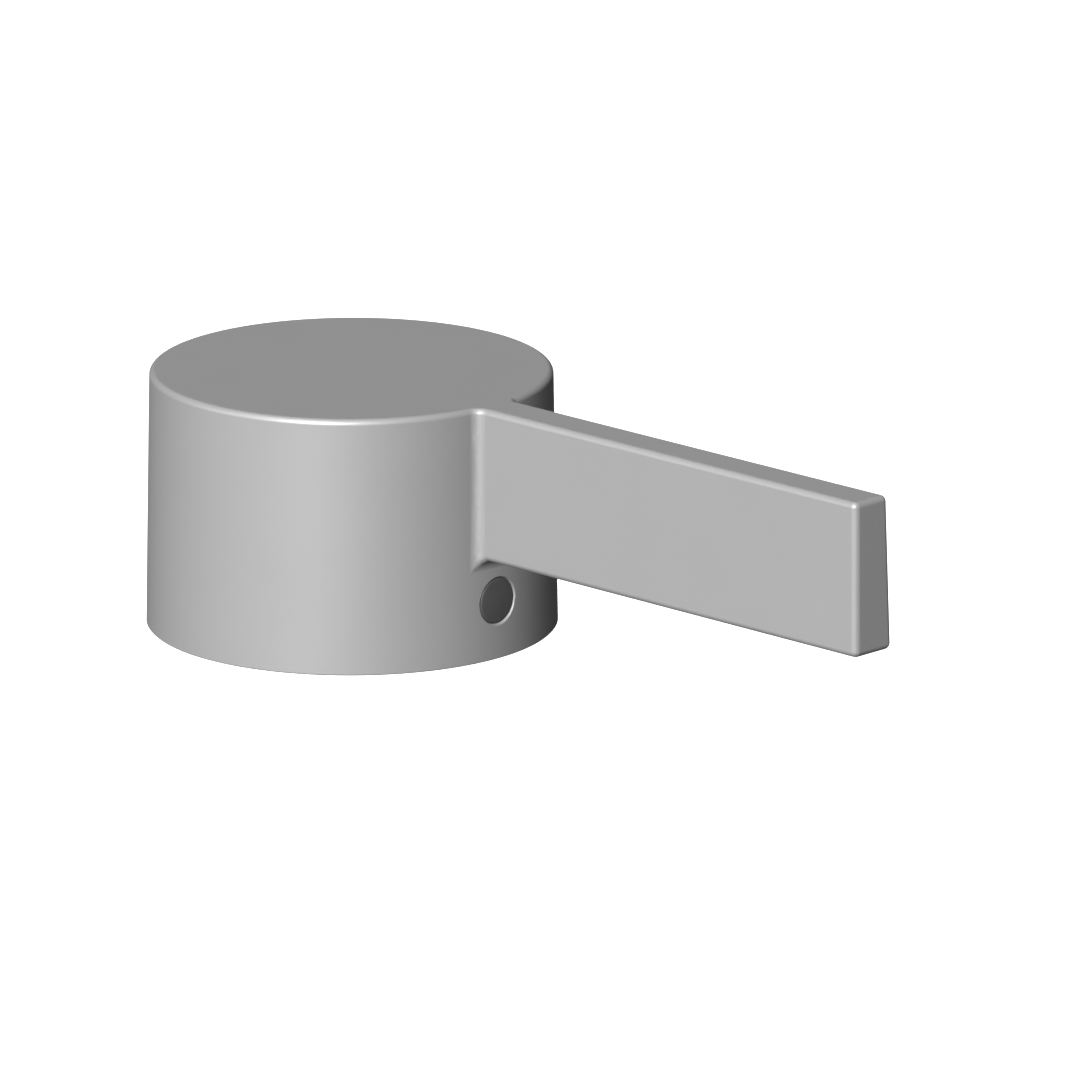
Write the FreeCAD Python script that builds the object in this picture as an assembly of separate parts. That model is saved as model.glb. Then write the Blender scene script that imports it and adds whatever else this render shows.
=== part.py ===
# Replacement single-lever tap handle: a cast cap with a blade lever, its grub screw and its cover plug.
# Millimetres, +Z up. The origin lies on the cap's axis in the plane of its rim, with the lever along +X.
import FreeCAD, Part
import math
import os

# Cap, outside
CAP_BASE_DIAMETER = 47.0
CAP_HEIGHT = 29.7
CAP_DRAFT = 1.0
RIM_BREAK = 0.15

# Blade lever, measured at its flush top face
LEVER_REACH = 80.9
LEVER_THICKNESS = 5.32
LEVER_UNDERSIDE = 12.1
LEVER_SIDE_DRAFT = 1.1
LEVER_END_DRAFT = 1.6
LEVER_CORNER_ROUND = 0.8
EDGE_ROUND = 0.7
ROOT_ROUND = 1.45
ROUND_STOP = 0.08

# Cavity under the cap
MOUTH_DIAMETER = 41.4
MOUTH_DEPTH = 2.0
CAVITY_STEP = 0.3
CROWN_THICKNESS = 3.0
CORE_DRAFT = 1.0
CROWN_CHAMFER = 1.0
WEB_FILLET = 1.2

# Hub with the square stem socket, and the web that carries the screw hole
HUB_DIAMETER = 14.6
HUB_SETBACK = 2.2
SOCKET_WIDTH = 8.2
SOCKET_DEPTH = 12.0
SOCKET_CORNER_ROUND = 0.6
SOCKET_LEAD = 0.5
WEB_WIDTH = 8.4

# Screw hole, grub screw and cover plug, on one radial axis under the lever
SCREW_HEIGHT = 6.75
SCREW_DIAMETER = 5.0
SCREW_LENGTH = 8.0
SCREW_CLEARANCE = 0.05
SCREW_SETBACK = 0.3
SCREW_CHAMFER = 0.5
SCREW_CUP_DIAMETER = 2.6
HEX_KEY = 2.5
HEX_DEPTH = 2.6
PLUG_BORE_DIAMETER = 5.5
PLUG_BORE_BREAK = 0.15
PLUG_CLEARANCE = 0.05
PLUG_LENGTH = 5.0
PLUG_RECESS = 0.05
PLUG_DOME = 0.12
PLUG_WALL = 0.9
PLUG_FACE_THICKNESS = 1.4
PLUG_EDGE_BREAK = 0.18
PLUG_LEAD = 0.1

# How far cutting tools run past the faces that they open, and how close two places, or two slopes in
# radians, count as one
OVERRUN = 1.0
SAME_PLACE = 1e-3
SAME_SLOPE = 1e-3

CAP_BASE_RADIUS = CAP_BASE_DIAMETER / 2
CAVITY_TOP = CAP_HEIGHT - CROWN_THICKNESS


def slope(degrees):
    """Sideways run per millimetre of height of a face with this draft."""
    return math.tan(math.radians(degrees))


def cap_radius(height):
    """Outside radius of the drafted cap at a height above its rim."""
    return CAP_BASE_RADIUS - height * slope(CAP_DRAFT)


def screw_axis(shape):
    """Turns a shape that was modelled along +Z so that it lies along +X on the screw's axis."""
    shape.rotate(FreeCAD.Vector(0, 0, 0), FreeCAD.Vector(0, 1, 0), 90)
    shape.translate(FreeCAD.Vector(0, 0, SCREW_HEIGHT))
    return shape


PLUG_FACE = cap_radius(SCREW_HEIGHT) - PLUG_RECESS
PLUG_SEAT = PLUG_FACE - PLUG_LENGTH


def same(first, second):
    """Whether two lengths agree."""
    return abs(first - second) < SAME_PLACE


def edge_points(edge):
    """The ends of an edge and three points between them."""
    first, last = edge.ParameterRange
    return [edge.valueAt(first + (last - first) * share) for share in (0, 0.25, 0.5, 0.75, 1)]


def edges_where(shape, test):
    """Edges whose points all pass a test."""
    return [edge for edge in shape.Edges if all(test(point) for point in edge_points(edge))]


def face_at_height(shape, height):
    """The widest flat, level face at a height."""
    level = [face for face in shape.Faces
             if same(face.BoundBox.ZMin, height) and same(face.BoundBox.ZMax, height)]
    return max(level, key=lambda face: face.Area)


def flat_face(corners):
    """Flat face through corners that lie in one plane."""
    return Part.Face(Part.makePolygon(corners + corners[:1]))


def rectangle(back, front, half, height):
    """Corners of a level rectangle between two places along the lever, anticlockwise from above."""
    places = [(back, -half), (front, -half), (front, half), (back, half)]
    return [FreeCAD.Vector(x, y, height) for x, y in places]


def tapered_block(low, high):
    """Solid with flat sides between a lower and an upper rectangle."""
    sides = [flat_face([low[corner - 1], low[corner], high[corner], high[corner - 1]]) for corner in range(4)]
    shell = Part.makeShell([flat_face(low[::-1]), flat_face(high)] + sides)
    return Part.makeSolid(shell)


def turned(outline):
    """Solid turned about +Z from an outline of (radius, height) points."""
    face = flat_face([FreeCAD.Vector(radius, 0, height) for radius, height in outline])
    return face.revolve(FreeCAD.Vector(0, 0, 0), FreeCAD.Vector(0, 0, 1), 360)


def unified(shape):
    """The shape with neighbouring faces that lie on one surface merged."""
    merger = Part.ShapeUpgrade.UnifySameDomain(shape)
    merger.setLinearTolerance(SAME_PLACE)
    merger.setAngularTolerance(SAME_SLOPE)
    merger.build()
    return merger.shape()


def cap_blank(growth=0):
    """Drafted cap, grown outwards where asked, with its seam at the back, away from the lever."""
    cap = Part.makeCone(CAP_BASE_RADIUS + growth, cap_radius(CAP_HEIGHT) + growth, CAP_HEIGHT)
    cap.rotate(FreeCAD.Vector(0, 0, 0), FreeCAD.Vector(0, 0, 1), 180)
    return cap


def lever_corners(height):
    """Corners of the blade at a height: it widens downwards by its drafts."""
    drop = CAP_HEIGHT - height
    half = LEVER_THICKNESS / 2 + drop * slope(LEVER_SIDE_DRAFT)
    end = LEVER_REACH + drop * slope(LEVER_END_DRAFT)
    return rectangle(0, end, half, height)


def blade():
    """Blade that runs down to the plane of the rim, with rounded end corners."""
    block = tapered_block(lever_corners(0), lever_corners(CAP_HEIGHT))
    end = edges_where(block, lambda p: p.x > LEVER_REACH - SAME_PLACE)
    corners = [edge for edge in end if not same(edge.BoundBox.ZMin, edge.BoundBox.ZMax)]
    return block.makeFillet(LEVER_CORNER_ROUND, corners)


def on_cap_wall(point):
    """Whether a point lies on the cap's front wall."""
    return same(math.hypot(point.x, point.y), cap_radius(point.z)) and point.x > 0


def blended_sides():
    """Cap and blade, blended along the two upright root edges."""
    body = cap_blank().fuse(blade()).removeSplitter()
    upright = [edge for edge in edges_where(body, on_cap_wall) if edge.BoundBox.ZLength > CAP_HEIGHT / 2]
    return body.makeFillet(ROOT_ROUND, upright)


def blended_underside():
    """Cap and a slab wider than the blade, blended along the level root edge under the slab."""
    half = CAP_BASE_RADIUS / 2
    slab = Part.makeBox(2 * LEVER_REACH, 2 * half, CAP_HEIGHT - LEVER_UNDERSIDE,
                        FreeCAD.Vector(0, -half, LEVER_UNDERSIDE))
    body = cap_blank().fuse(slab).removeSplitter()
    level = [edge for edge in edges_where(body, on_cap_wall) if same(edge.BoundBox.ZMax, LEVER_UNDERSIDE)]
    return body.makeFillet(ROOT_ROUND, level)


def rounded_lever(body, collar):
    """What lies in front of the collar, with the lever's lower outline and its root creases rounded."""
    lever = body.cut(collar).Solids[0]
    past_root = CAP_BASE_RADIUS + 2 * ROOT_ROUND
    lower = face_at_height(lever, LEVER_UNDERSIDE).OuterWire.Edges
    return lever.makeFillet(EDGE_ROUND, [edge for edge in lower if edge.BoundBox.XMax > past_root])


def outside():
    """Cap and lever as one casting, with the root blended and the lever's outlines rounded."""
    body = unified(blended_sides().common(blended_underside()))
    collar = cap_blank(ROUND_STOP)
    body = unified(rounded_lever(body, collar).fuse(body.common(collar)))
    body = body.makeFillet(EDGE_ROUND, face_at_height(body, CAP_HEIGHT).OuterWire.Edges)
    rim = edges_where(body, lambda p: same(p.z, 0))
    return body.makeChamfer(RIM_BREAK, rim)


def hub():
    """Drafted hub that stands down from the crown."""
    low = HUB_DIAMETER / 2
    high = low + (CAVITY_TOP - HUB_SETBACK) * slope(CORE_DRAFT)
    post = Part.makeCone(low, high, CAVITY_TOP - HUB_SETBACK, FreeCAD.Vector(0, 0, HUB_SETBACK))
    post.rotate(FreeCAD.Vector(0, 0, 0), FreeCAD.Vector(0, 0, 1), 180)
    return post


def web():
    """Web from the hub to the front wall: round below about the screw's axis, drafted above it."""
    radius = WEB_WIDTH / 2
    draft = math.radians(CORE_DRAFT)
    side = radius * math.cos(draft)
    level = SCREW_HEIGHT - radius * math.sin(draft)
    spread = side + (CAVITY_TOP - level) * slope(CORE_DRAFT)
    right = FreeCAD.Vector(0, side, level)
    left = FreeCAD.Vector(0, -side, level)
    bottom = FreeCAD.Vector(0, 0, SCREW_HEIGHT - radius)
    right_top = FreeCAD.Vector(0, spread, CAVITY_TOP)
    left_top = FreeCAD.Vector(0, -spread, CAVITY_TOP)
    outline = Part.Wire([
        Part.Arc(left, bottom, right).toShape(),
        Part.LineSegment(right, right_top).toShape(),
        Part.LineSegment(right_top, left_top).toShape(),
        Part.LineSegment(left_top, left).toShape(),
    ])
    return Part.Face(outline).extrude(FreeCAD.Vector(CAP_BASE_RADIUS, 0, 0))


def cavity_radius(height):
    """Radius of the drafted cavity at a height above the rim."""
    return MOUTH_DIAMETER / 2 - CAVITY_STEP - (height - MOUTH_DEPTH) * slope(CORE_DRAFT)


def on_cavity_wall(point):
    """Whether a point lies on the cavity's wall."""
    return same(math.hypot(point.x, point.y), cavity_radius(point.z))


def core():
    """The space inside the cap: a drafted cavity round the hub and the web, blended into the crown."""
    space = Part.makeCone(cavity_radius(-OVERRUN), cavity_radius(CAVITY_TOP), CAVITY_TOP + OVERRUN,
                          FreeCAD.Vector(0, 0, -OVERRUN))
    space.rotate(FreeCAD.Vector(0, 0, 0), FreeCAD.Vector(0, 0, 1), 180)
    space = space.cut(hub().fuse(web())).removeSplitter()
    web_ends = [edge for edge in edges_where(space, on_cavity_wall) if edge.BoundBox.XMin > 0]
    space = space.makeFillet(WEB_FILLET, web_ends)
    crown = face_at_height(space, CAVITY_TOP)
    space = space.makeChamfer(CROWN_CHAMFER, crown.OuterWire.Edges)
    mouth = Part.makeCylinder(MOUTH_DIAMETER / 2, MOUTH_DEPTH + OVERRUN, FreeCAD.Vector(0, 0, -OVERRUN))
    return space.fuse(mouth)


def socket():
    """Square hole for the valve stem, with a lead-in at its mouth."""
    half = SOCKET_WIDTH / 2
    hole = Part.makeBox(SOCKET_WIDTH, SOCKET_WIDTH, SOCKET_DEPTH, FreeCAD.Vector(-half, -half, HUB_SETBACK))
    upright = [edge for edge in hole.Edges if edge.BoundBox.ZLength > SOCKET_DEPTH / 2]
    hole = hole.makeFillet(SOCKET_CORNER_ROUND, upright)
    wide = half + SOCKET_LEAD
    lead = tapered_block(rectangle(-wide, wide, wide, HUB_SETBACK),
                         rectangle(-half, half, half, HUB_SETBACK + SOCKET_LEAD))
    return hole.fuse(lead)


def screw_hole():
    """Tapped hole from the socket to the plug's seat, and the plug's bore from there out."""
    tapped = Part.makeCylinder(SCREW_DIAMETER / 2, PLUG_SEAT)
    bore = Part.makeCylinder(PLUG_BORE_DIAMETER / 2, CAP_BASE_RADIUS + OVERRUN - PLUG_SEAT,
                             FreeCAD.Vector(0, 0, PLUG_SEAT))
    return screw_axis(tapped.fuse(bore))


def on_bore_mouth(point):
    """Whether a point lies on the edge where the plug's bore meets the cap's front wall."""
    off_axis = math.hypot(point.y, point.z - SCREW_HEIGHT)
    on_bore = same(off_axis, PLUG_BORE_DIAMETER / 2)
    return on_bore and same(math.hypot(point.x, point.y), cap_radius(point.z))


def handle_body():
    """The casting: cap and lever outside, cavity, stem socket and screw hole inside."""
    body = outside().cut(core()).cut(socket()).cut(screw_hole())
    return body.makeChamfer(PLUG_BORE_BREAK, edges_where(body, on_bore_mouth))


def grub_screw():
    """Set screw with a cup point towards the stem and a hexagon socket towards the plug."""
    radius = SCREW_DIAMETER / 2 - SCREW_CLEARANCE
    point = SOCKET_WIDTH / 2 + SCREW_SETBACK
    head = point + SCREW_LENGTH
    cup = SCREW_CUP_DIAMETER / 2
    tip = radius - SCREW_CHAMFER
    shank = turned([(0, point + cup), (cup, point), (tip, point), (radius, point + SCREW_CHAMFER),
                    (radius, head - SCREW_CHAMFER), (tip, head), (0, head)])
    corner = HEX_KEY / math.sqrt(3)
    angles = [math.radians(60 * side) for side in range(7)]
    hexagon = Part.makePolygon([FreeCAD.Vector(corner * math.cos(a), corner * math.sin(a), head - HEX_DEPTH)
                                for a in angles])
    key = Part.Face(hexagon).extrude(FreeCAD.Vector(0, 0, HEX_DEPTH + OVERRUN))
    drill = Part.makeCone(0, HEX_KEY / 2, HEX_KEY / 4, FreeCAD.Vector(0, 0, head - HEX_DEPTH - HEX_KEY / 4))
    return screw_axis(shank.cut(key.fuse(drill)))


def cover_plug():
    """Plug with a softly domed face and a thin skirt that pushes into the bore."""
    radius = PLUG_BORE_DIAMETER / 2 - PLUG_CLEARANCE
    inner = radius - PLUG_WALL
    shoulder = PLUG_FACE - PLUG_DOME
    slug = turned([(inner, PLUG_SEAT), (radius - PLUG_LEAD, PLUG_SEAT), (radius, PLUG_SEAT + PLUG_LEAD),
                   (radius, shoulder), (0, shoulder), (0, PLUG_FACE - PLUG_FACE_THICKNESS),
                   (inner, PLUG_FACE - PLUG_FACE_THICKNESS)])
    sphere = (radius ** 2 + PLUG_DOME ** 2) / (2 * PLUG_DOME)
    ball = Part.makeSphere(sphere, FreeCAD.Vector(0, 0, PLUG_FACE - sphere))
    column = Part.makeCylinder(radius, PLUG_DOME, FreeCAD.Vector(0, 0, shoulder))
    plug = slug.fuse(column.common(ball)).removeSplitter()
    rim = edges_where(plug, lambda p: same(math.hypot(p.x, p.y), radius) and same(p.z, shoulder))
    return screw_axis(plug.makeChamfer(PLUG_EDGE_BREAK, rim))


def write(name, shape):
    """Writes one piece to its own file."""
    shape.exportStep(os.path.join("parts", name + ".step"))


os.makedirs("parts", exist_ok=True)
write("handle_body", handle_body())
write("grub_screw", grub_screw())
write("cover_plug", cover_plug())
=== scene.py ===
"""Looks of a replacement tap handle: a satin-coated casting, its threaded grub screw and its cover plug.

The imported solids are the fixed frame. The casting is shown by a merged copy of its solid with evener
normals, the plug is turned again in finer steps and the grub screw is made again with its thread.
Lengths are metres, in the frame of the solids: the origin lies on the cap's axis in the plane of its
rim, +Z is up and the lever points along +X. The screw and the plug lie on one axis along +X.
"""

import logging
import math
from collections.abc import Iterator
from dataclasses import dataclass
from enum import Enum

import bmesh
import bpy
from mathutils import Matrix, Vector

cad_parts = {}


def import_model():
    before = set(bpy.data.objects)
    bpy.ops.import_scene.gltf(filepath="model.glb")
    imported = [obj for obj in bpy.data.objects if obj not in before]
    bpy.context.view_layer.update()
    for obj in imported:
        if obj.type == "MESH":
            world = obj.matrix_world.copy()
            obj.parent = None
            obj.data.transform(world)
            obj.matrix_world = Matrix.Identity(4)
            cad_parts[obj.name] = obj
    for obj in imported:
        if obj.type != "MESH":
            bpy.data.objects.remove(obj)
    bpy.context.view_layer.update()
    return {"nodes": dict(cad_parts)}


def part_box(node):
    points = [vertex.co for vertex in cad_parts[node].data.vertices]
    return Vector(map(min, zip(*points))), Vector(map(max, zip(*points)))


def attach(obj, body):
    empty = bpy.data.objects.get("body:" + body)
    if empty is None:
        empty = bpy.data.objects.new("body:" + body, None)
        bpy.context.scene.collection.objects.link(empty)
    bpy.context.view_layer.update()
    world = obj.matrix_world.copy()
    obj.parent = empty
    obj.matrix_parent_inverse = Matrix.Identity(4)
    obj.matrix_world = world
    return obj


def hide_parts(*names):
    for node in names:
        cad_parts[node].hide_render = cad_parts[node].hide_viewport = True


MM = 0.001
BODY = "root"
# Distances within which loose triangles, and the points of a ring of no radius, become one.
WELD = 0.001 * MM
POLE_WELD = 0.0001 * MM
# Values between which most of a noise lies.
NOISE_SPAN = (0.3, 0.7)

log = logging.getLogger("tap_handle")


class Node(Enum):
    """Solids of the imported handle."""

    CASTING = "handle_body"
    SCREW = "grub_screw"
    PLUG = "cover_plug"


class Slot(Enum):
    """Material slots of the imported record."""

    CASTING = "cast_metal"
    SCREW = "screw_steel"
    PLUG = "plug_plastic"


class Shader:
    """A new material with its node tree, and short ways to add and join nodes."""

    def __init__(self, name: str) -> None:
        """Makes the material with a principled shader, an output and object coordinates.

        Args:
            name: Name of the material.
        """
        self.material = bpy.data.materials.new(name)
        self.material.use_nodes = True
        self.tree = self.material.node_tree
        self.tree.nodes.clear()
        output = self.add("ShaderNodeOutputMaterial")
        self.surface = self.add("ShaderNodeBsdfPrincipled")
        self.join(self.surface.outputs["BSDF"], output.inputs["Surface"])
        self.place = self.add("ShaderNodeTexCoord").outputs["Object"]

    def add(self, kind: str) -> bpy.types.Node:
        """Adds a node of a kind."""
        return self.tree.nodes.new(kind)

    def join(self, start: bpy.types.NodeSocket, end: bpy.types.NodeSocket) -> None:
        """Links an output to an input."""
        self.tree.links.new(start, end)

    def noise(self, size: float, detail: float) -> bpy.types.NodeSocket:
        """Adds noise in object space.

        Args:
            size: Width of one grain, in metres.
            detail: Octaves of finer noise.

        Returns:
            The noise's value, about 0 to 1.
        """
        node = self.add("ShaderNodeTexNoise")
        node.inputs["Scale"].default_value = 1 / size
        node.inputs["Detail"].default_value = detail
        self.join(self.place, node.inputs["Vector"])
        return node.outputs["Fac"]

    def spread(self, value: bpy.types.NodeSocket, middle: float, reach: float) -> bpy.types.NodeSocket:
        """Maps the usual span of a noise to a range.

        Args:
            value: Noise value.
            middle: Result at the noise's mean.
            reach: How far the result goes to each side.

        Returns:
            The mapped value.
        """
        node = self.add("ShaderNodeMapRange")
        node.inputs["From Min"].default_value, node.inputs["From Max"].default_value = NOISE_SPAN
        node.inputs["To Min"].default_value = middle - reach
        node.inputs["To Max"].default_value = middle + reach
        self.join(value, node.inputs["Value"])
        return node.outputs["Result"]

    def grey(self, value: bpy.types.NodeSocket) -> bpy.types.NodeSocket:
        """Turns a value into a neutral colour.

        Args:
            value: Brightness, 0 to 1.

        Returns:
            The colour.
        """
        node = self.add("ShaderNodeCombineColor")
        for channel in ("Red", "Green", "Blue"):
            self.join(value, node.inputs[channel])
        return node.outputs["Color"]

    def bump(self, height: bpy.types.NodeSocket, depth: float) -> None:
        """Roughens the surface normal.

        Args:
            height: Height pattern, 0 to 1.
            depth: Depth of the pattern, in metres.
        """
        node = self.add("ShaderNodeBump")
        node.inputs["Distance"].default_value = depth
        self.join(height, node.inputs["Height"])
        self.join(node.outputs["Normal"], self.surface.inputs["Normal"])


@dataclass(frozen=True)
class GrainedFinish:
    """A grey finish with a slow mottle in its tone and gloss and a fine grain in its surface.

    Each reach is how far the mottle takes a value to either side, and each detail counts octaves of noise.
    """

    name: str
    tone: float
    tone_reach: float
    roughness: float
    roughness_reach: float
    metallic: float
    mottle_size: float
    grain_size: float
    grain_depth: float
    ior: float = 1.5
    mottle_detail: float = 3.0
    grain_detail: float = 2.0

    def material(self) -> bpy.types.Material:
        """Builds the material.

        Returns:
            The material.
        """
        shader = Shader(self.name)
        mottle = shader.noise(self.mottle_size, self.mottle_detail)
        grain = shader.noise(self.grain_size, self.grain_detail)
        tone = shader.spread(mottle, self.tone, self.tone_reach)
        gloss = shader.spread(mottle, self.roughness, self.roughness_reach)
        shader.join(shader.grey(tone), shader.surface.inputs["Base Color"])
        shader.join(gloss, shader.surface.inputs["Roughness"])
        shader.surface.inputs["Metallic"].default_value = self.metallic
        shader.surface.inputs["IOR"].default_value = self.ior
        shader.bump(grain, self.grain_depth)
        return shader.material


def show(name: str, mesh: bpy.types.Mesh, node: Node, slot: Slot) -> bpy.types.Object:
    """Puts a finished mesh in the scene in place of a solid.

    Args:
        name: Name of the piece.
        mesh: Its mesh, in the frame of the solids.
        node: The solid that it stands for.
        slot: The record's material slot of its finish; not used.

    Returns:
        The piece.
    """
    piece = bpy.data.objects.new(name, mesh)
    bpy.context.scene.collection.objects.link(piece)
    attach(piece, BODY)
    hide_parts(node.value)
    return piece


@dataclass
class Casting:
    """Cap and lever, cast in one piece, coated outside and left raw in the cavity.

    The four last sizes rule the shading: how close a point lies to the cap's own surface, how far a face
    may lean from it, and the angles up to which faces count as one flat stretch or meet softly.
    """

    rim_radius: float = 23.5 * MM
    height: float = 29.7 * MM
    draft: float = math.radians(1.0)
    edge_round: float = 0.7 * MM
    cavity_radius: float = 20.75 * MM
    cavity_top: float = 26.75 * MM
    on_surface: float = 0.003 * MM
    same_slope: float = math.radians(15)
    flat: float = math.radians(0.1)
    soft_edge: float = math.radians(50)
    coat: GrainedFinish = GrainedFinish(
        name="satin_grey_coat", tone=0.42, tone_reach=0.002, roughness=0.46, roughness_reach=0.006,
        metallic=0.2, mottle_size=9 * MM, grain_size=0.18 * MM, grain_depth=0.002 * MM, ior=2.06)
    raw: GrainedFinish = GrainedFinish(
        name="raw_cast_zinc", tone=0.5, tone_reach=0.03, roughness=0.55, roughness_reach=0.06,
        metallic=0.5, mottle_size=3 * MM, grain_size=0.4 * MM, grain_depth=0.02 * MM)

    def build(self, solid: bpy.types.Object) -> bpy.types.Object:
        """Shows the casting by a merged copy of its solid.

        Args:
            solid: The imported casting.

        Returns:
            The piece.
        """
        bm = bmesh.new()
        bm.from_mesh(solid.data)
        bmesh.ops.remove_doubles(bm, verts=bm.verts, dist=WELD)
        for face in bm.faces:
            face.smooth = True
            face.material_index = int(self.inside(face.calc_center_median()))
        normals = self.corner_normals(bm)
        mesh = bpy.data.meshes.new("casting")
        bm.to_mesh(mesh)
        bm.free()
        mesh.normals_split_custom_set(normals)
        mesh.materials.append(self.coat.material())
        mesh.materials.append(self.raw.material())
        return show("casting", mesh, Node.CASTING, Slot.CASTING)

    def inside(self, point: Vector) -> bool:
        """Whether a point lies in the cavity, which the coating doesn't reach."""
        return math.hypot(point.x, point.y) < self.cavity_radius and WELD < point.z < self.cavity_top

    def corner_normals(self, bm: bmesh.types.BMesh) -> list[Vector]:
        """Works out a normal for each corner of each face.

        Args:
            bm: The merged casting.

        Returns:
            The normals, face by face.
        """
        areas = self.flat_areas(bm)
        normals = {}
        for vertex in bm.verts:
            for fan in self.soft_fans(vertex):
                normal = self.fan_normal(vertex, fan, areas)
                normals.update({loop: normal for loop in vertex.link_loops if loop.face in fan})
        return [normals[loop] for face in bm.faces for loop in face.loops]

    def flat_areas(self, bm: bmesh.types.BMesh) -> dict[bmesh.types.BMFace, float]:
        """Measures the flat stretch that each face is part of.

        Args:
            bm: The merged casting.

        Returns:
            Area of the stretch, for each face.
        """
        areas = {}
        for start in bm.faces:
            if start in areas:
                continue
            areas[start] = 0.0
            stretch = [start]
            for face in stretch:
                for other in self.across(face, self.flat):
                    if other not in areas:
                        areas[other] = 0.0
                        stretch.append(other)
            total = sum(face.calc_area() for face in stretch)
            areas.update({face: total for face in stretch})
        return areas

    def across(self, face: bmesh.types.BMFace, limit: float) -> Iterator[bmesh.types.BMFace]:
        """Finds the neighbours of a face that lean nearly as it does.

        Args:
            face: The face.
            limit: Largest angle between the two, in radians.

        Returns:
            The neighbours.
        """
        for edge in face.edges:
            for other in edge.link_faces:
                if other is not face and face.normal.angle(other.normal, math.pi) < limit:
                    yield other

    def soft_fans(self, vertex: bmesh.types.BMVert) -> Iterator[list[bmesh.types.BMFace]]:
        """Groups the faces round a vertex that meet across soft edges.

        Args:
            vertex: The vertex.

        Returns:
            The groups.
        """
        left = list(vertex.link_faces)
        while left:
            fan = [left.pop()]
            for face in fan:
                for other in self.across(face, self.soft_edge):
                    if other in left:
                        left.remove(other)
                        fan.append(other)
            yield fan

    def fan_normal(self, vertex: bmesh.types.BMVert, fan: list[bmesh.types.BMFace],
                   areas: dict[bmesh.types.BMFace, float]) -> Vector:
        """Normal of a group of faces at their vertex.

        Args:
            vertex: The vertex.
            fan: Faces round it that are shaded as one surface.
            areas: Weight of each face.

        Returns:
            The cap's own normal on its wall and top round, and elsewhere a mean that flat faces lead.
        """
        turned = self.cap_normal(vertex.co)
        if turned and any(face.normal.angle(turned, math.pi) < self.same_slope for face in fan):
            return turned
        return sum((face.normal * areas[face] for face in fan), Vector()).normalized()

    def cap_normal(self, point: Vector) -> Vector | None:
        """Normal of the cap's drafted wall or of the round along its top edge.

        Args:
            point: A place on the casting.

        Returns:
            The normal there, or None where the point is on neither.
        """
        middle_height = self.height - self.edge_round
        wall_radius = self.rim_radius - point.z * math.tan(self.draft)
        middle_radius = (self.rim_radius - middle_height * math.tan(self.draft)
                         - self.edge_round / math.cos(self.draft))
        radius = math.hypot(point.x, point.y)
        tilt = math.atan2(point.z - middle_height, radius - middle_radius)
        if tilt < self.draft:
            off, tilt = radius - wall_radius, self.draft
        else:
            off = math.hypot(radius - middle_radius, point.z - middle_height) - self.edge_round
        if abs(off) > self.on_surface or tilt > math.pi / 2:
            return None
        level = math.cos(tilt) / radius
        return Vector((point.x * level, point.y * level, math.sin(tilt)))


def ringed_mesh(name: str, height: float, rings: list[tuple[float, list[float]]],
                crease: float) -> bpy.types.Mesh:
    """Closed mesh of rings about an axis along +X.

    Args:
        name: Name of the mesh.
        height: Height of the axis.
        rings: Place of each ring along the axis and its radii in even steps of angle; the first and the
            last ring have no radius.
        crease: Angle, in radians, from which an edge is sharp.

    Returns:
        The mesh.
    """
    bm = bmesh.new()
    loops = []
    for place, radii in rings:
        turns = [math.tau * number / len(radii) for number in range(len(radii))]
        points = [(place, radius * math.sin(turn), height + radius * math.cos(turn))
                  for radius, turn in zip(radii, turns)]
        loops.append([bm.verts.new(point) for point in points])
    for first, second in zip(loops, loops[1:]):
        for number in range(len(first)):
            bm.faces.new((first[number - 1], first[number], second[number], second[number - 1]))
    bmesh.ops.remove_doubles(bm, verts=bm.verts, dist=POLE_WELD)
    bmesh.ops.recalc_face_normals(bm, faces=bm.faces)
    mesh = bpy.data.meshes.new(name)
    bm.to_mesh(mesh)
    bm.free()
    mesh.shade_smooth()
    mesh.set_sharp_from_angle(angle=crease)
    return mesh


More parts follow.
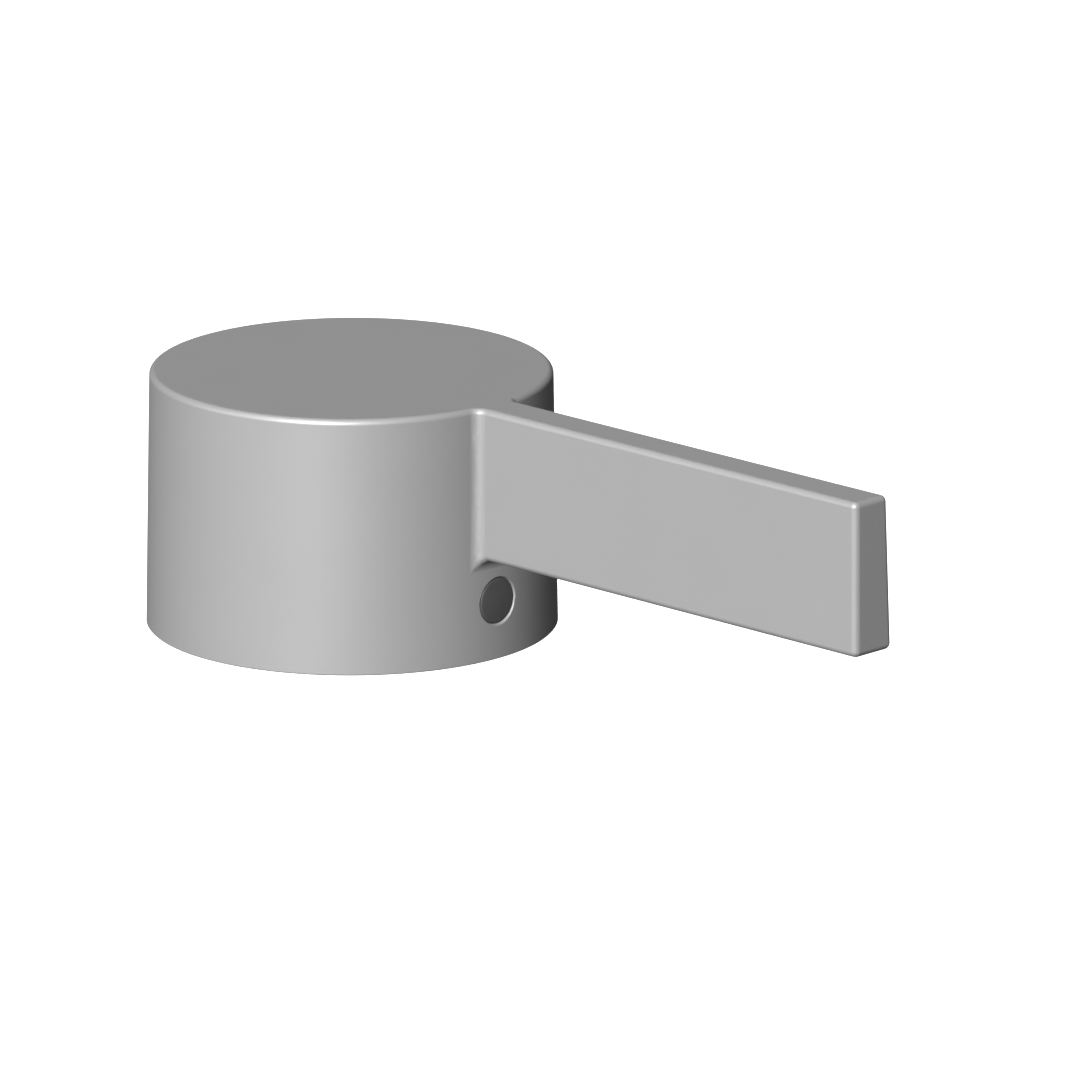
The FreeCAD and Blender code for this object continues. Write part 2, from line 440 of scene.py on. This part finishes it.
@dataclass
class CoverPlug:
    """Small hollow plug with a softly domed face that closes the screw hole."""

    wall: float = 0.9 * MM
    face_thickness: float = 1.4 * MM
    dome: float = 0.12 * MM
    edge_round: float = 0.3 * MM
    lead: float = 0.1 * MM
    sides: int = 128
    steps: int = 12
    crease: float = math.radians(30)
    plastic: GrainedFinish = GrainedFinish(
        name="dark_grey_plastic", tone=0.097, tone_reach=0.003, roughness=0.5, roughness_reach=0.03,
        metallic=0.0, mottle_size=2 * MM, grain_size=0.09 * MM, grain_depth=0.002 * MM)

    def build(self) -> bpy.types.Object:
        """Turns the plug in the place of its solid.

        Returns:
            The piece.
        """
        low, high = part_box(Node.PLUG.value)
        outline = self.outline(low.x, high.x, (high.y - low.y) / 2)
        rings = [(place, [radius] * self.sides) for radius, place in outline]
        mesh = ringed_mesh("plug", (low.z + high.z) / 2, rings, self.crease)
        mesh.materials.append(self.plastic.material())
        return show("plug", mesh, Node.PLUG, Slot.PLUG)

    def outline(self, seat: float, face: float, radius: float) -> list[tuple[float, float]]:
        """Outline from the middle of the hollow, round the skirt, to the middle of the face.

        Args:
            seat: Place of the skirt's end along the axis.
            face: Place of the top of the dome.
            radius: Radius of the plug.

        Returns:
            Radius and place along the axis of each point.
        """
        inner, under = radius - self.wall, face - self.face_thickness
        ball = (radius ** 2 + self.dome ** 2) / (2 * self.dome)
        ball_middle = face - ball
        bend = radius - self.edge_round
        bend_middle = ball_middle + math.sqrt((ball - self.edge_round) ** 2 - bend ** 2)
        meet = math.atan2(bend_middle - ball_middle, bend)
        shares = [step / self.steps for step in range(self.steps + 1)]
        skirt = [(0.0, under), (inner, under), (inner, seat),
                 (radius - self.lead, seat), (radius, seat + self.lead)]
        edge = [(bend + self.edge_round * math.cos(meet * share),
                 bend_middle + self.edge_round * math.sin(meet * share)) for share in shares]
        turns = [meet + (math.pi / 2 - meet) * share for share in shares[1:]]
        return skirt + edge + [(ball * math.cos(turn), ball_middle + ball * math.sin(turn)) for turn in turns]


class ThreadInput(Enum):
    """Sizes that the thread's node tree takes."""

    START = "Start"
    HEIGHT = "Axis Height"
    TURNS = "Turns"
    PITCH = "Pitch"
    ROOT = "Root Radius"
    DEPTH = "Depth"


@dataclass
class Thread:
    """Helical ridge along +X, made by geometry nodes."""

    sizes: dict[ThreadInput, float]
    material: bpy.types.Material
    steps: int = 48
    crest_share: float = 0.2
    foot_share: float = 0.9

    def mesh(self) -> bpy.types.Mesh:
        """Runs the tree and keeps its result.

        Returns:
            The ridge as a plain mesh.
        """
        holder = bpy.data.objects.new("thread", bpy.data.meshes.new("thread_start"))
        bpy.context.scene.collection.objects.link(holder)
        modifier = holder.modifiers.new("thread", "NODES")
        tree = self.tree()
        modifier.node_group = tree
        sockets = {item.name: item.identifier for item in tree.interface.items_tree if item.in_out == "INPUT"}
        for name, size in self.sizes.items():
            modifier[sockets[name.value]] = size
        graph = bpy.context.evaluated_depsgraph_get()
        mesh = bpy.data.meshes.new_from_object(holder.evaluated_get(graph))
        holder.modifiers.remove(modifier)
        bpy.data.objects.remove(holder)
        return mesh

    def tree(self) -> bpy.types.NodeTree:
        """Builds the tree: a spiral, a ridge swept along it, and the turn to the screw's axis.

        Returns:
            The tree.
        """
        tree = bpy.data.node_groups.new("screw_thread", "GeometryNodeTree")
        for name in ThreadInput:
            tree.interface.new_socket(name.value, in_out="INPUT", socket_type="NodeSocketFloat")
        tree.interface.new_socket("Geometry", in_out="OUTPUT", socket_type="NodeSocketGeometry")
        sizes = tree.nodes.new("NodeGroupInput").outputs
        spiral = tree.nodes.new("GeometryNodeCurveSpiral")
        spiral.inputs["Resolution"].default_value = self.steps
        middle = self.number(tree, "MULTIPLY_ADD", sizes[ThreadInput.DEPTH.value], 0.5,
                             sizes[ThreadInput.ROOT.value])
        tree.links.new(sizes[ThreadInput.TURNS.value], spiral.inputs["Rotations"])
        tree.links.new(middle, spiral.inputs["Start Radius"])
        tree.links.new(middle, spiral.inputs["End Radius"])
        length = self.number(tree, "MULTIPLY", sizes[ThreadInput.TURNS.value], sizes[ThreadInput.PITCH.value])
        tree.links.new(length, spiral.inputs["Height"])
        upright = tree.nodes.new("GeometryNodeSetCurveNormal")
        upright.mode = "Z_UP"
        tree.links.new(spiral.outputs["Curve"], upright.inputs["Curve"])
        sweep = tree.nodes.new("GeometryNodeCurveToMesh")
        sweep.inputs["Fill Caps"].default_value = True
        tree.links.new(upright.outputs["Curve"], sweep.inputs["Curve"])
        tree.links.new(self.ridge(tree, sizes), sweep.inputs["Profile Curve"])
        turn = tree.nodes.new("GeometryNodeTransform")
        turn.inputs["Rotation"].default_value = (0, math.pi / 2, 0)
        place = tree.nodes.new("ShaderNodeCombineXYZ")
        tree.links.new(sizes[ThreadInput.START.value], place.inputs["X"])
        tree.links.new(sizes[ThreadInput.HEIGHT.value], place.inputs["Z"])
        tree.links.new(place.outputs["Vector"], turn.inputs["Translation"])
        tree.links.new(sweep.outputs["Mesh"], turn.inputs["Geometry"])
        self.finish(tree, turn.outputs["Geometry"])
        return tree

    def number(self, tree: bpy.types.NodeTree, operation: str,
               *terms: bpy.types.NodeSocket | float) -> bpy.types.NodeSocket:
        """Adds a sum or product.

        Args:
            tree: The tree.
            operation: Blender's name for the operation.
            terms: Sockets or plain numbers.

        Returns:
            The result.
        """
        node = tree.nodes.new("ShaderNodeMath")
        node.operation = operation
        for term, socket in zip(terms, node.inputs):
            if isinstance(term, bpy.types.NodeSocket):
                tree.links.new(term, socket)
            else:
                socket.default_value = term
        return node.outputs["Value"]

    def ridge(self, tree: bpy.types.NodeTree, sizes: bpy.types.NodeOutputs) -> bpy.types.NodeSocket:
        """Adds the ridge's section, wide at its foot and narrow at its crest.

        Args:
            tree: The tree.
            sizes: The tree's inputs.

        Returns:
            The section's curve, with the crest away from the screw's axis.
        """
        section = tree.nodes.new("GeometryNodeCurvePrimitiveQuadrilateral")
        section.mode = "TRAPEZOID"
        pitch = sizes[ThreadInput.PITCH.value]
        tree.links.new(self.number(tree, "MULTIPLY", pitch, self.foot_share), section.inputs["Bottom Width"])
        tree.links.new(self.number(tree, "MULTIPLY", pitch, self.crest_share), section.inputs["Top Width"])
        tree.links.new(sizes[ThreadInput.DEPTH.value], section.inputs["Height"])
        section.inputs["Offset"].default_value = 0
        turn = tree.nodes.new("GeometryNodeTransform")
        turn.inputs["Rotation"].default_value = (0, 0, math.pi / 2)
        tree.links.new(section.outputs["Curve"], turn.inputs["Geometry"])
        return turn.outputs["Geometry"]

    def finish(self, tree: bpy.types.NodeTree, geometry: bpy.types.NodeSocket) -> None:
        """Ends the tree with real geometry and its material.

        Args:
            tree: The tree.
            geometry: What the tree has made.
        """
        real = tree.nodes.new("GeometryNodeRealizeInstances")
        dress = tree.nodes.new("GeometryNodeSetMaterial")
        dress.inputs["Material"].default_value = self.material
        output = tree.nodes.new("NodeGroupOutput")
        tree.links.new(geometry, real.inputs["Geometry"])
        tree.links.new(real.outputs["Geometry"], dress.inputs["Geometry"])
        tree.links.new(dress.outputs["Geometry"], output.inputs["Geometry"])


@dataclass
class GrubScrew:
    """Hexagon socket set screw with a cup point and a thread."""

    pitch: float = 0.8 * MM
    thread_depth: float = 0.49 * MM
    chamfer: float = 0.5 * MM
    cup_radius: float = 1.3 * MM
    key: float = 2.5 * MM
    key_depth: float = 2.6 * MM
    drill_depth: float = 0.6 * MM
    flats: int = 6
    sides: int = 96
    crease: float = math.radians(35)
    steel: GrainedFinish = GrainedFinish(
        name="machined_steel", tone=0.45, tone_reach=0.03, roughness=0.34, roughness_reach=0.05,
        metallic=1.0, mottle_size=1.5 * MM, grain_size=0.12 * MM, grain_depth=0.003 * MM)

    def build(self) -> bpy.types.Object:
        """Makes the shank and its thread in the place of the solid.

        Returns:
            The piece.
        """
        low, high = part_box(Node.SCREW.value)
        height, radius = (low.z + high.z) / 2, (high.y - low.y) / 2
        steel = self.steel.material()
        shank = ringed_mesh("screw", height, self.rings(low.x, high.x, radius), self.crease)
        start = low.x + self.chamfer
        thread = Thread({
            ThreadInput.START: start,
            ThreadInput.HEIGHT: height,
            ThreadInput.TURNS: (high.x - self.chamfer - start) / self.pitch,
            ThreadInput.PITCH: self.pitch,
            ThreadInput.ROOT: radius - self.thread_depth,
            ThreadInput.DEPTH: self.thread_depth,
        }, steel).mesh()
        bm = bmesh.new()
        bm.from_mesh(shank)
        bm.from_mesh(thread)
        bm.to_mesh(shank)
        bm.free()
        shank.materials.append(steel)
        return show("screw", shank, Node.SCREW, Slot.SCREW)

    def rings(self, point: float, head: float, radius: float) -> list[tuple[float, list[float]]]:
        """Rings of the shank, from the bottom of the cup to the bottom of the hexagon socket.

        Args:
            point: Place of the screw's point along the axis.
            head: Place of its other end.
            radius: Radius over the thread.

        Returns:
            Place and radii of each ring.
        """
        root, tip = radius - self.thread_depth, radius - self.chamfer
        flat_turn = math.tau / self.flats
        half_turn = flat_turn / 2
        turns = [math.tau * number / self.sides for number in range(self.sides)]
        hexagon = [self.key / 2 / math.cos((turn + half_turn) % flat_turn - half_turn) for turn in turns]
        floor = head - self.key_depth
        plain = [(point + self.cup_radius, 0.0), (point, self.cup_radius), (point, tip),
                 (point + self.chamfer, root), (head - self.chamfer, root), (head, tip)]
        drill = [(floor, self.key / 2), (floor - self.drill_depth, 0.0)]
        shank = [(place, [size] * self.sides) for place, size in plain]
        socket = [(head, hexagon), (floor, hexagon)]
        return shank + socket + [(place, [size] * self.sides) for place, size in drill]


class Role(Enum):
    """What a lamp does in the studio."""

    KEY = "key"
    TOP = "top"
    SIDE = "side"
    BACK = "back"


@dataclass(frozen=True)
class Lamp:
    """A soft directional lamp; its turn starts at the camera's azimuth, and softness is its width."""

    role: Role
    turn: float
    elevation: float
    strength: float
    softness: float


@dataclass
class Studio:
    """Pale floor, soft light, and the camera at the photograph's viewing angle.

    All angles are degrees. The back lamp stands right opposite the camera, so it lights only the sides
    that the photograph doesn't show.
    """

    azimuth: float = 44.28
    elevation: float = 15.55
    image_side: float = 1080.0
    pixels_per_mm: float = 8.763
    origin_pixel: tuple[float, float] = (352.3, 619.0)
    distance: float = 1.697
    floor_side: float = 6.0
    floor_tone: float = 0.9
    floor_glow: float = 0.9
    ambient: float = 0.07
    lamps: tuple[Lamp, ...] = (
        Lamp(Role.KEY, turn=-20.0, elevation=26.5, strength=3.95, softness=21.0),
        Lamp(Role.TOP, turn=-35.0, elevation=60.0, strength=0.9, softness=30.0),
        Lamp(Role.SIDE, turn=-75.0, elevation=18.0, strength=0.36, softness=30.0),
        Lamp(Role.BACK, turn=180.0, elevation=-15.55, strength=0.6, softness=8.0),
    )

    def direction(self, azimuth: float, elevation: float) -> Vector:
        """Unit vector from the handle towards a place round it.

        Args:
            azimuth: Degrees round the handle; 0 looks along +Y and 90 along -X.
            elevation: Degrees above the horizon.

        Returns:
            The direction.
        """
        turn, rise = math.radians(azimuth), math.radians(elevation)
        level = math.cos(rise)
        return Vector((math.sin(turn) * level, -math.cos(turn) * level, math.sin(rise)))

    def build(self, bare: list[bpy.types.Object], sunk: list[bpy.types.Object]) -> None:
        """Makes the floor, the world, the lamps and the camera.

        The pieces get light from the lamps and the room but not from each other.

        Args:
            bare: Pieces that every lamp reaches without shadows.
            sunk: Pieces in a hole, on which its edge throws a shadow.
        """
        floor = self.build_floor()
        self.build_world()
        for lamp in self.lamps:
            self.build_lamp(lamp, [*bare, floor], shadows=False)
            self.build_lamp(lamp, sunk, shadows=True)
        self.build_camera()
        for piece in bare + sunk:
            piece.visible_diffuse = False
            piece.visible_glossy = False

    def build_floor(self) -> bpy.types.Object:
        """Lays a plain pale floor that throws neither light nor shadow on the handle.

        Returns:
            The floor.
        """
        half = self.floor_side / 2
        mesh = bpy.data.meshes.new("floor")
        points = [(-half, -half, 0), (half, -half, 0), (half, half, 0), (-half, half, 0)]
        mesh.from_pydata(points, [], [(0, 1, 2, 3)])
        floor = bpy.data.objects.new("floor", mesh)
        bpy.context.scene.collection.objects.link(floor)
        shader = Shader("pale_floor")
        surface = shader.surface.inputs
        surface["Base Color"].default_value = (self.floor_tone, self.floor_tone, self.floor_tone, 1)
        surface["Roughness"].default_value = 1.0
        surface["Specular IOR Level"].default_value = 0.0
        surface["Emission Color"].default_value = (1, 1, 1, 1)
        surface["Emission Strength"].default_value = self.floor_glow
        mesh.materials.append(shader.material)
        floor.visible_diffuse = False
        floor.visible_glossy = False
        floor.visible_shadow = False
        return floor

    def build_world(self) -> None:
        """Fills the room with a faint even light."""
        world = bpy.data.worlds.new("studio")
        world.use_nodes = True
        sky = world.node_tree.nodes["Background"]
        sky.inputs["Color"].default_value = (1, 1, 1, 1)
        sky.inputs["Strength"].default_value = self.ambient
        bpy.context.scene.world = world

    def build_lamp(self, lamp: Lamp, lit: list[bpy.types.Object], shadows: bool) -> None:
        """Hangs one lamp over some of the pieces.

        Args:
            lamp: Its direction, strength and softness.
            lit: What it lights.
            shadows: Whether other pieces stop its light.
        """
        name = lamp.role.value + ("_sunk" if shadows else "_bare")
        light = bpy.data.lights.new(name, "SUN")
        light.energy = lamp.strength
        light.angle = math.radians(lamp.softness)
        light.use_shadow = shadows
        holder = bpy.data.objects.new(name, light)
        toward = self.direction(self.azimuth + lamp.turn, lamp.elevation)
        holder.location = toward
        holder.rotation_euler = toward.to_track_quat("Z", "Y").to_euler()
        bpy.context.scene.collection.objects.link(holder)
        group = bpy.data.collections.new(name)
        for piece in lit:
            group.objects.link(piece)
        holder.light_linking.receiver_collection = group

    def build_camera(self) -> None:
        """Sets a long lens that puts the handle's origin on its pixel of the photograph."""
        back = self.direction(self.azimuth, self.elevation)
        turned = back.to_track_quat("Z", "Y")
        right, up = turned @ Vector((1, 0, 0)), turned @ Vector((0, 1, 0))
        pixel = MM / self.pixels_per_mm
        centre = self.image_side / 2
        across = (centre - self.origin_pixel[0]) * pixel
        rise = (self.origin_pixel[1] - centre) * pixel
        lens = bpy.data.cameras.new("camera")
        lens.angle = 2 * math.atan(centre * pixel / self.distance)
        camera = bpy.data.objects.new("camera", lens)
        camera.location = right * across + up * rise + back * self.distance
        camera.rotation_euler = turned.to_euler()
        bpy.context.scene.collection.objects.link(camera)
        bpy.context.scene.camera = camera


def main() -> None:
    """Builds the handle's pieces and sets the studio round them."""
    logging.basicConfig(level=logging.INFO, format="%(name)s: %(message)s")
    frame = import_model()
    bpy.context.scene.view_settings.view_transform = "Standard"
    casting = Casting().build(frame["nodes"][Node.CASTING.value])
    plug = CoverPlug().build()
    screw = GrubScrew().build()
    for piece in (casting, plug, screw):
        log.info("%s with %d faces", piece.name, len(piece.data.polygons))
    Studio().build(bare=[casting], sunk=[plug, screw])
    log.info("studio set")


if __name__ == "__main__":
    main()
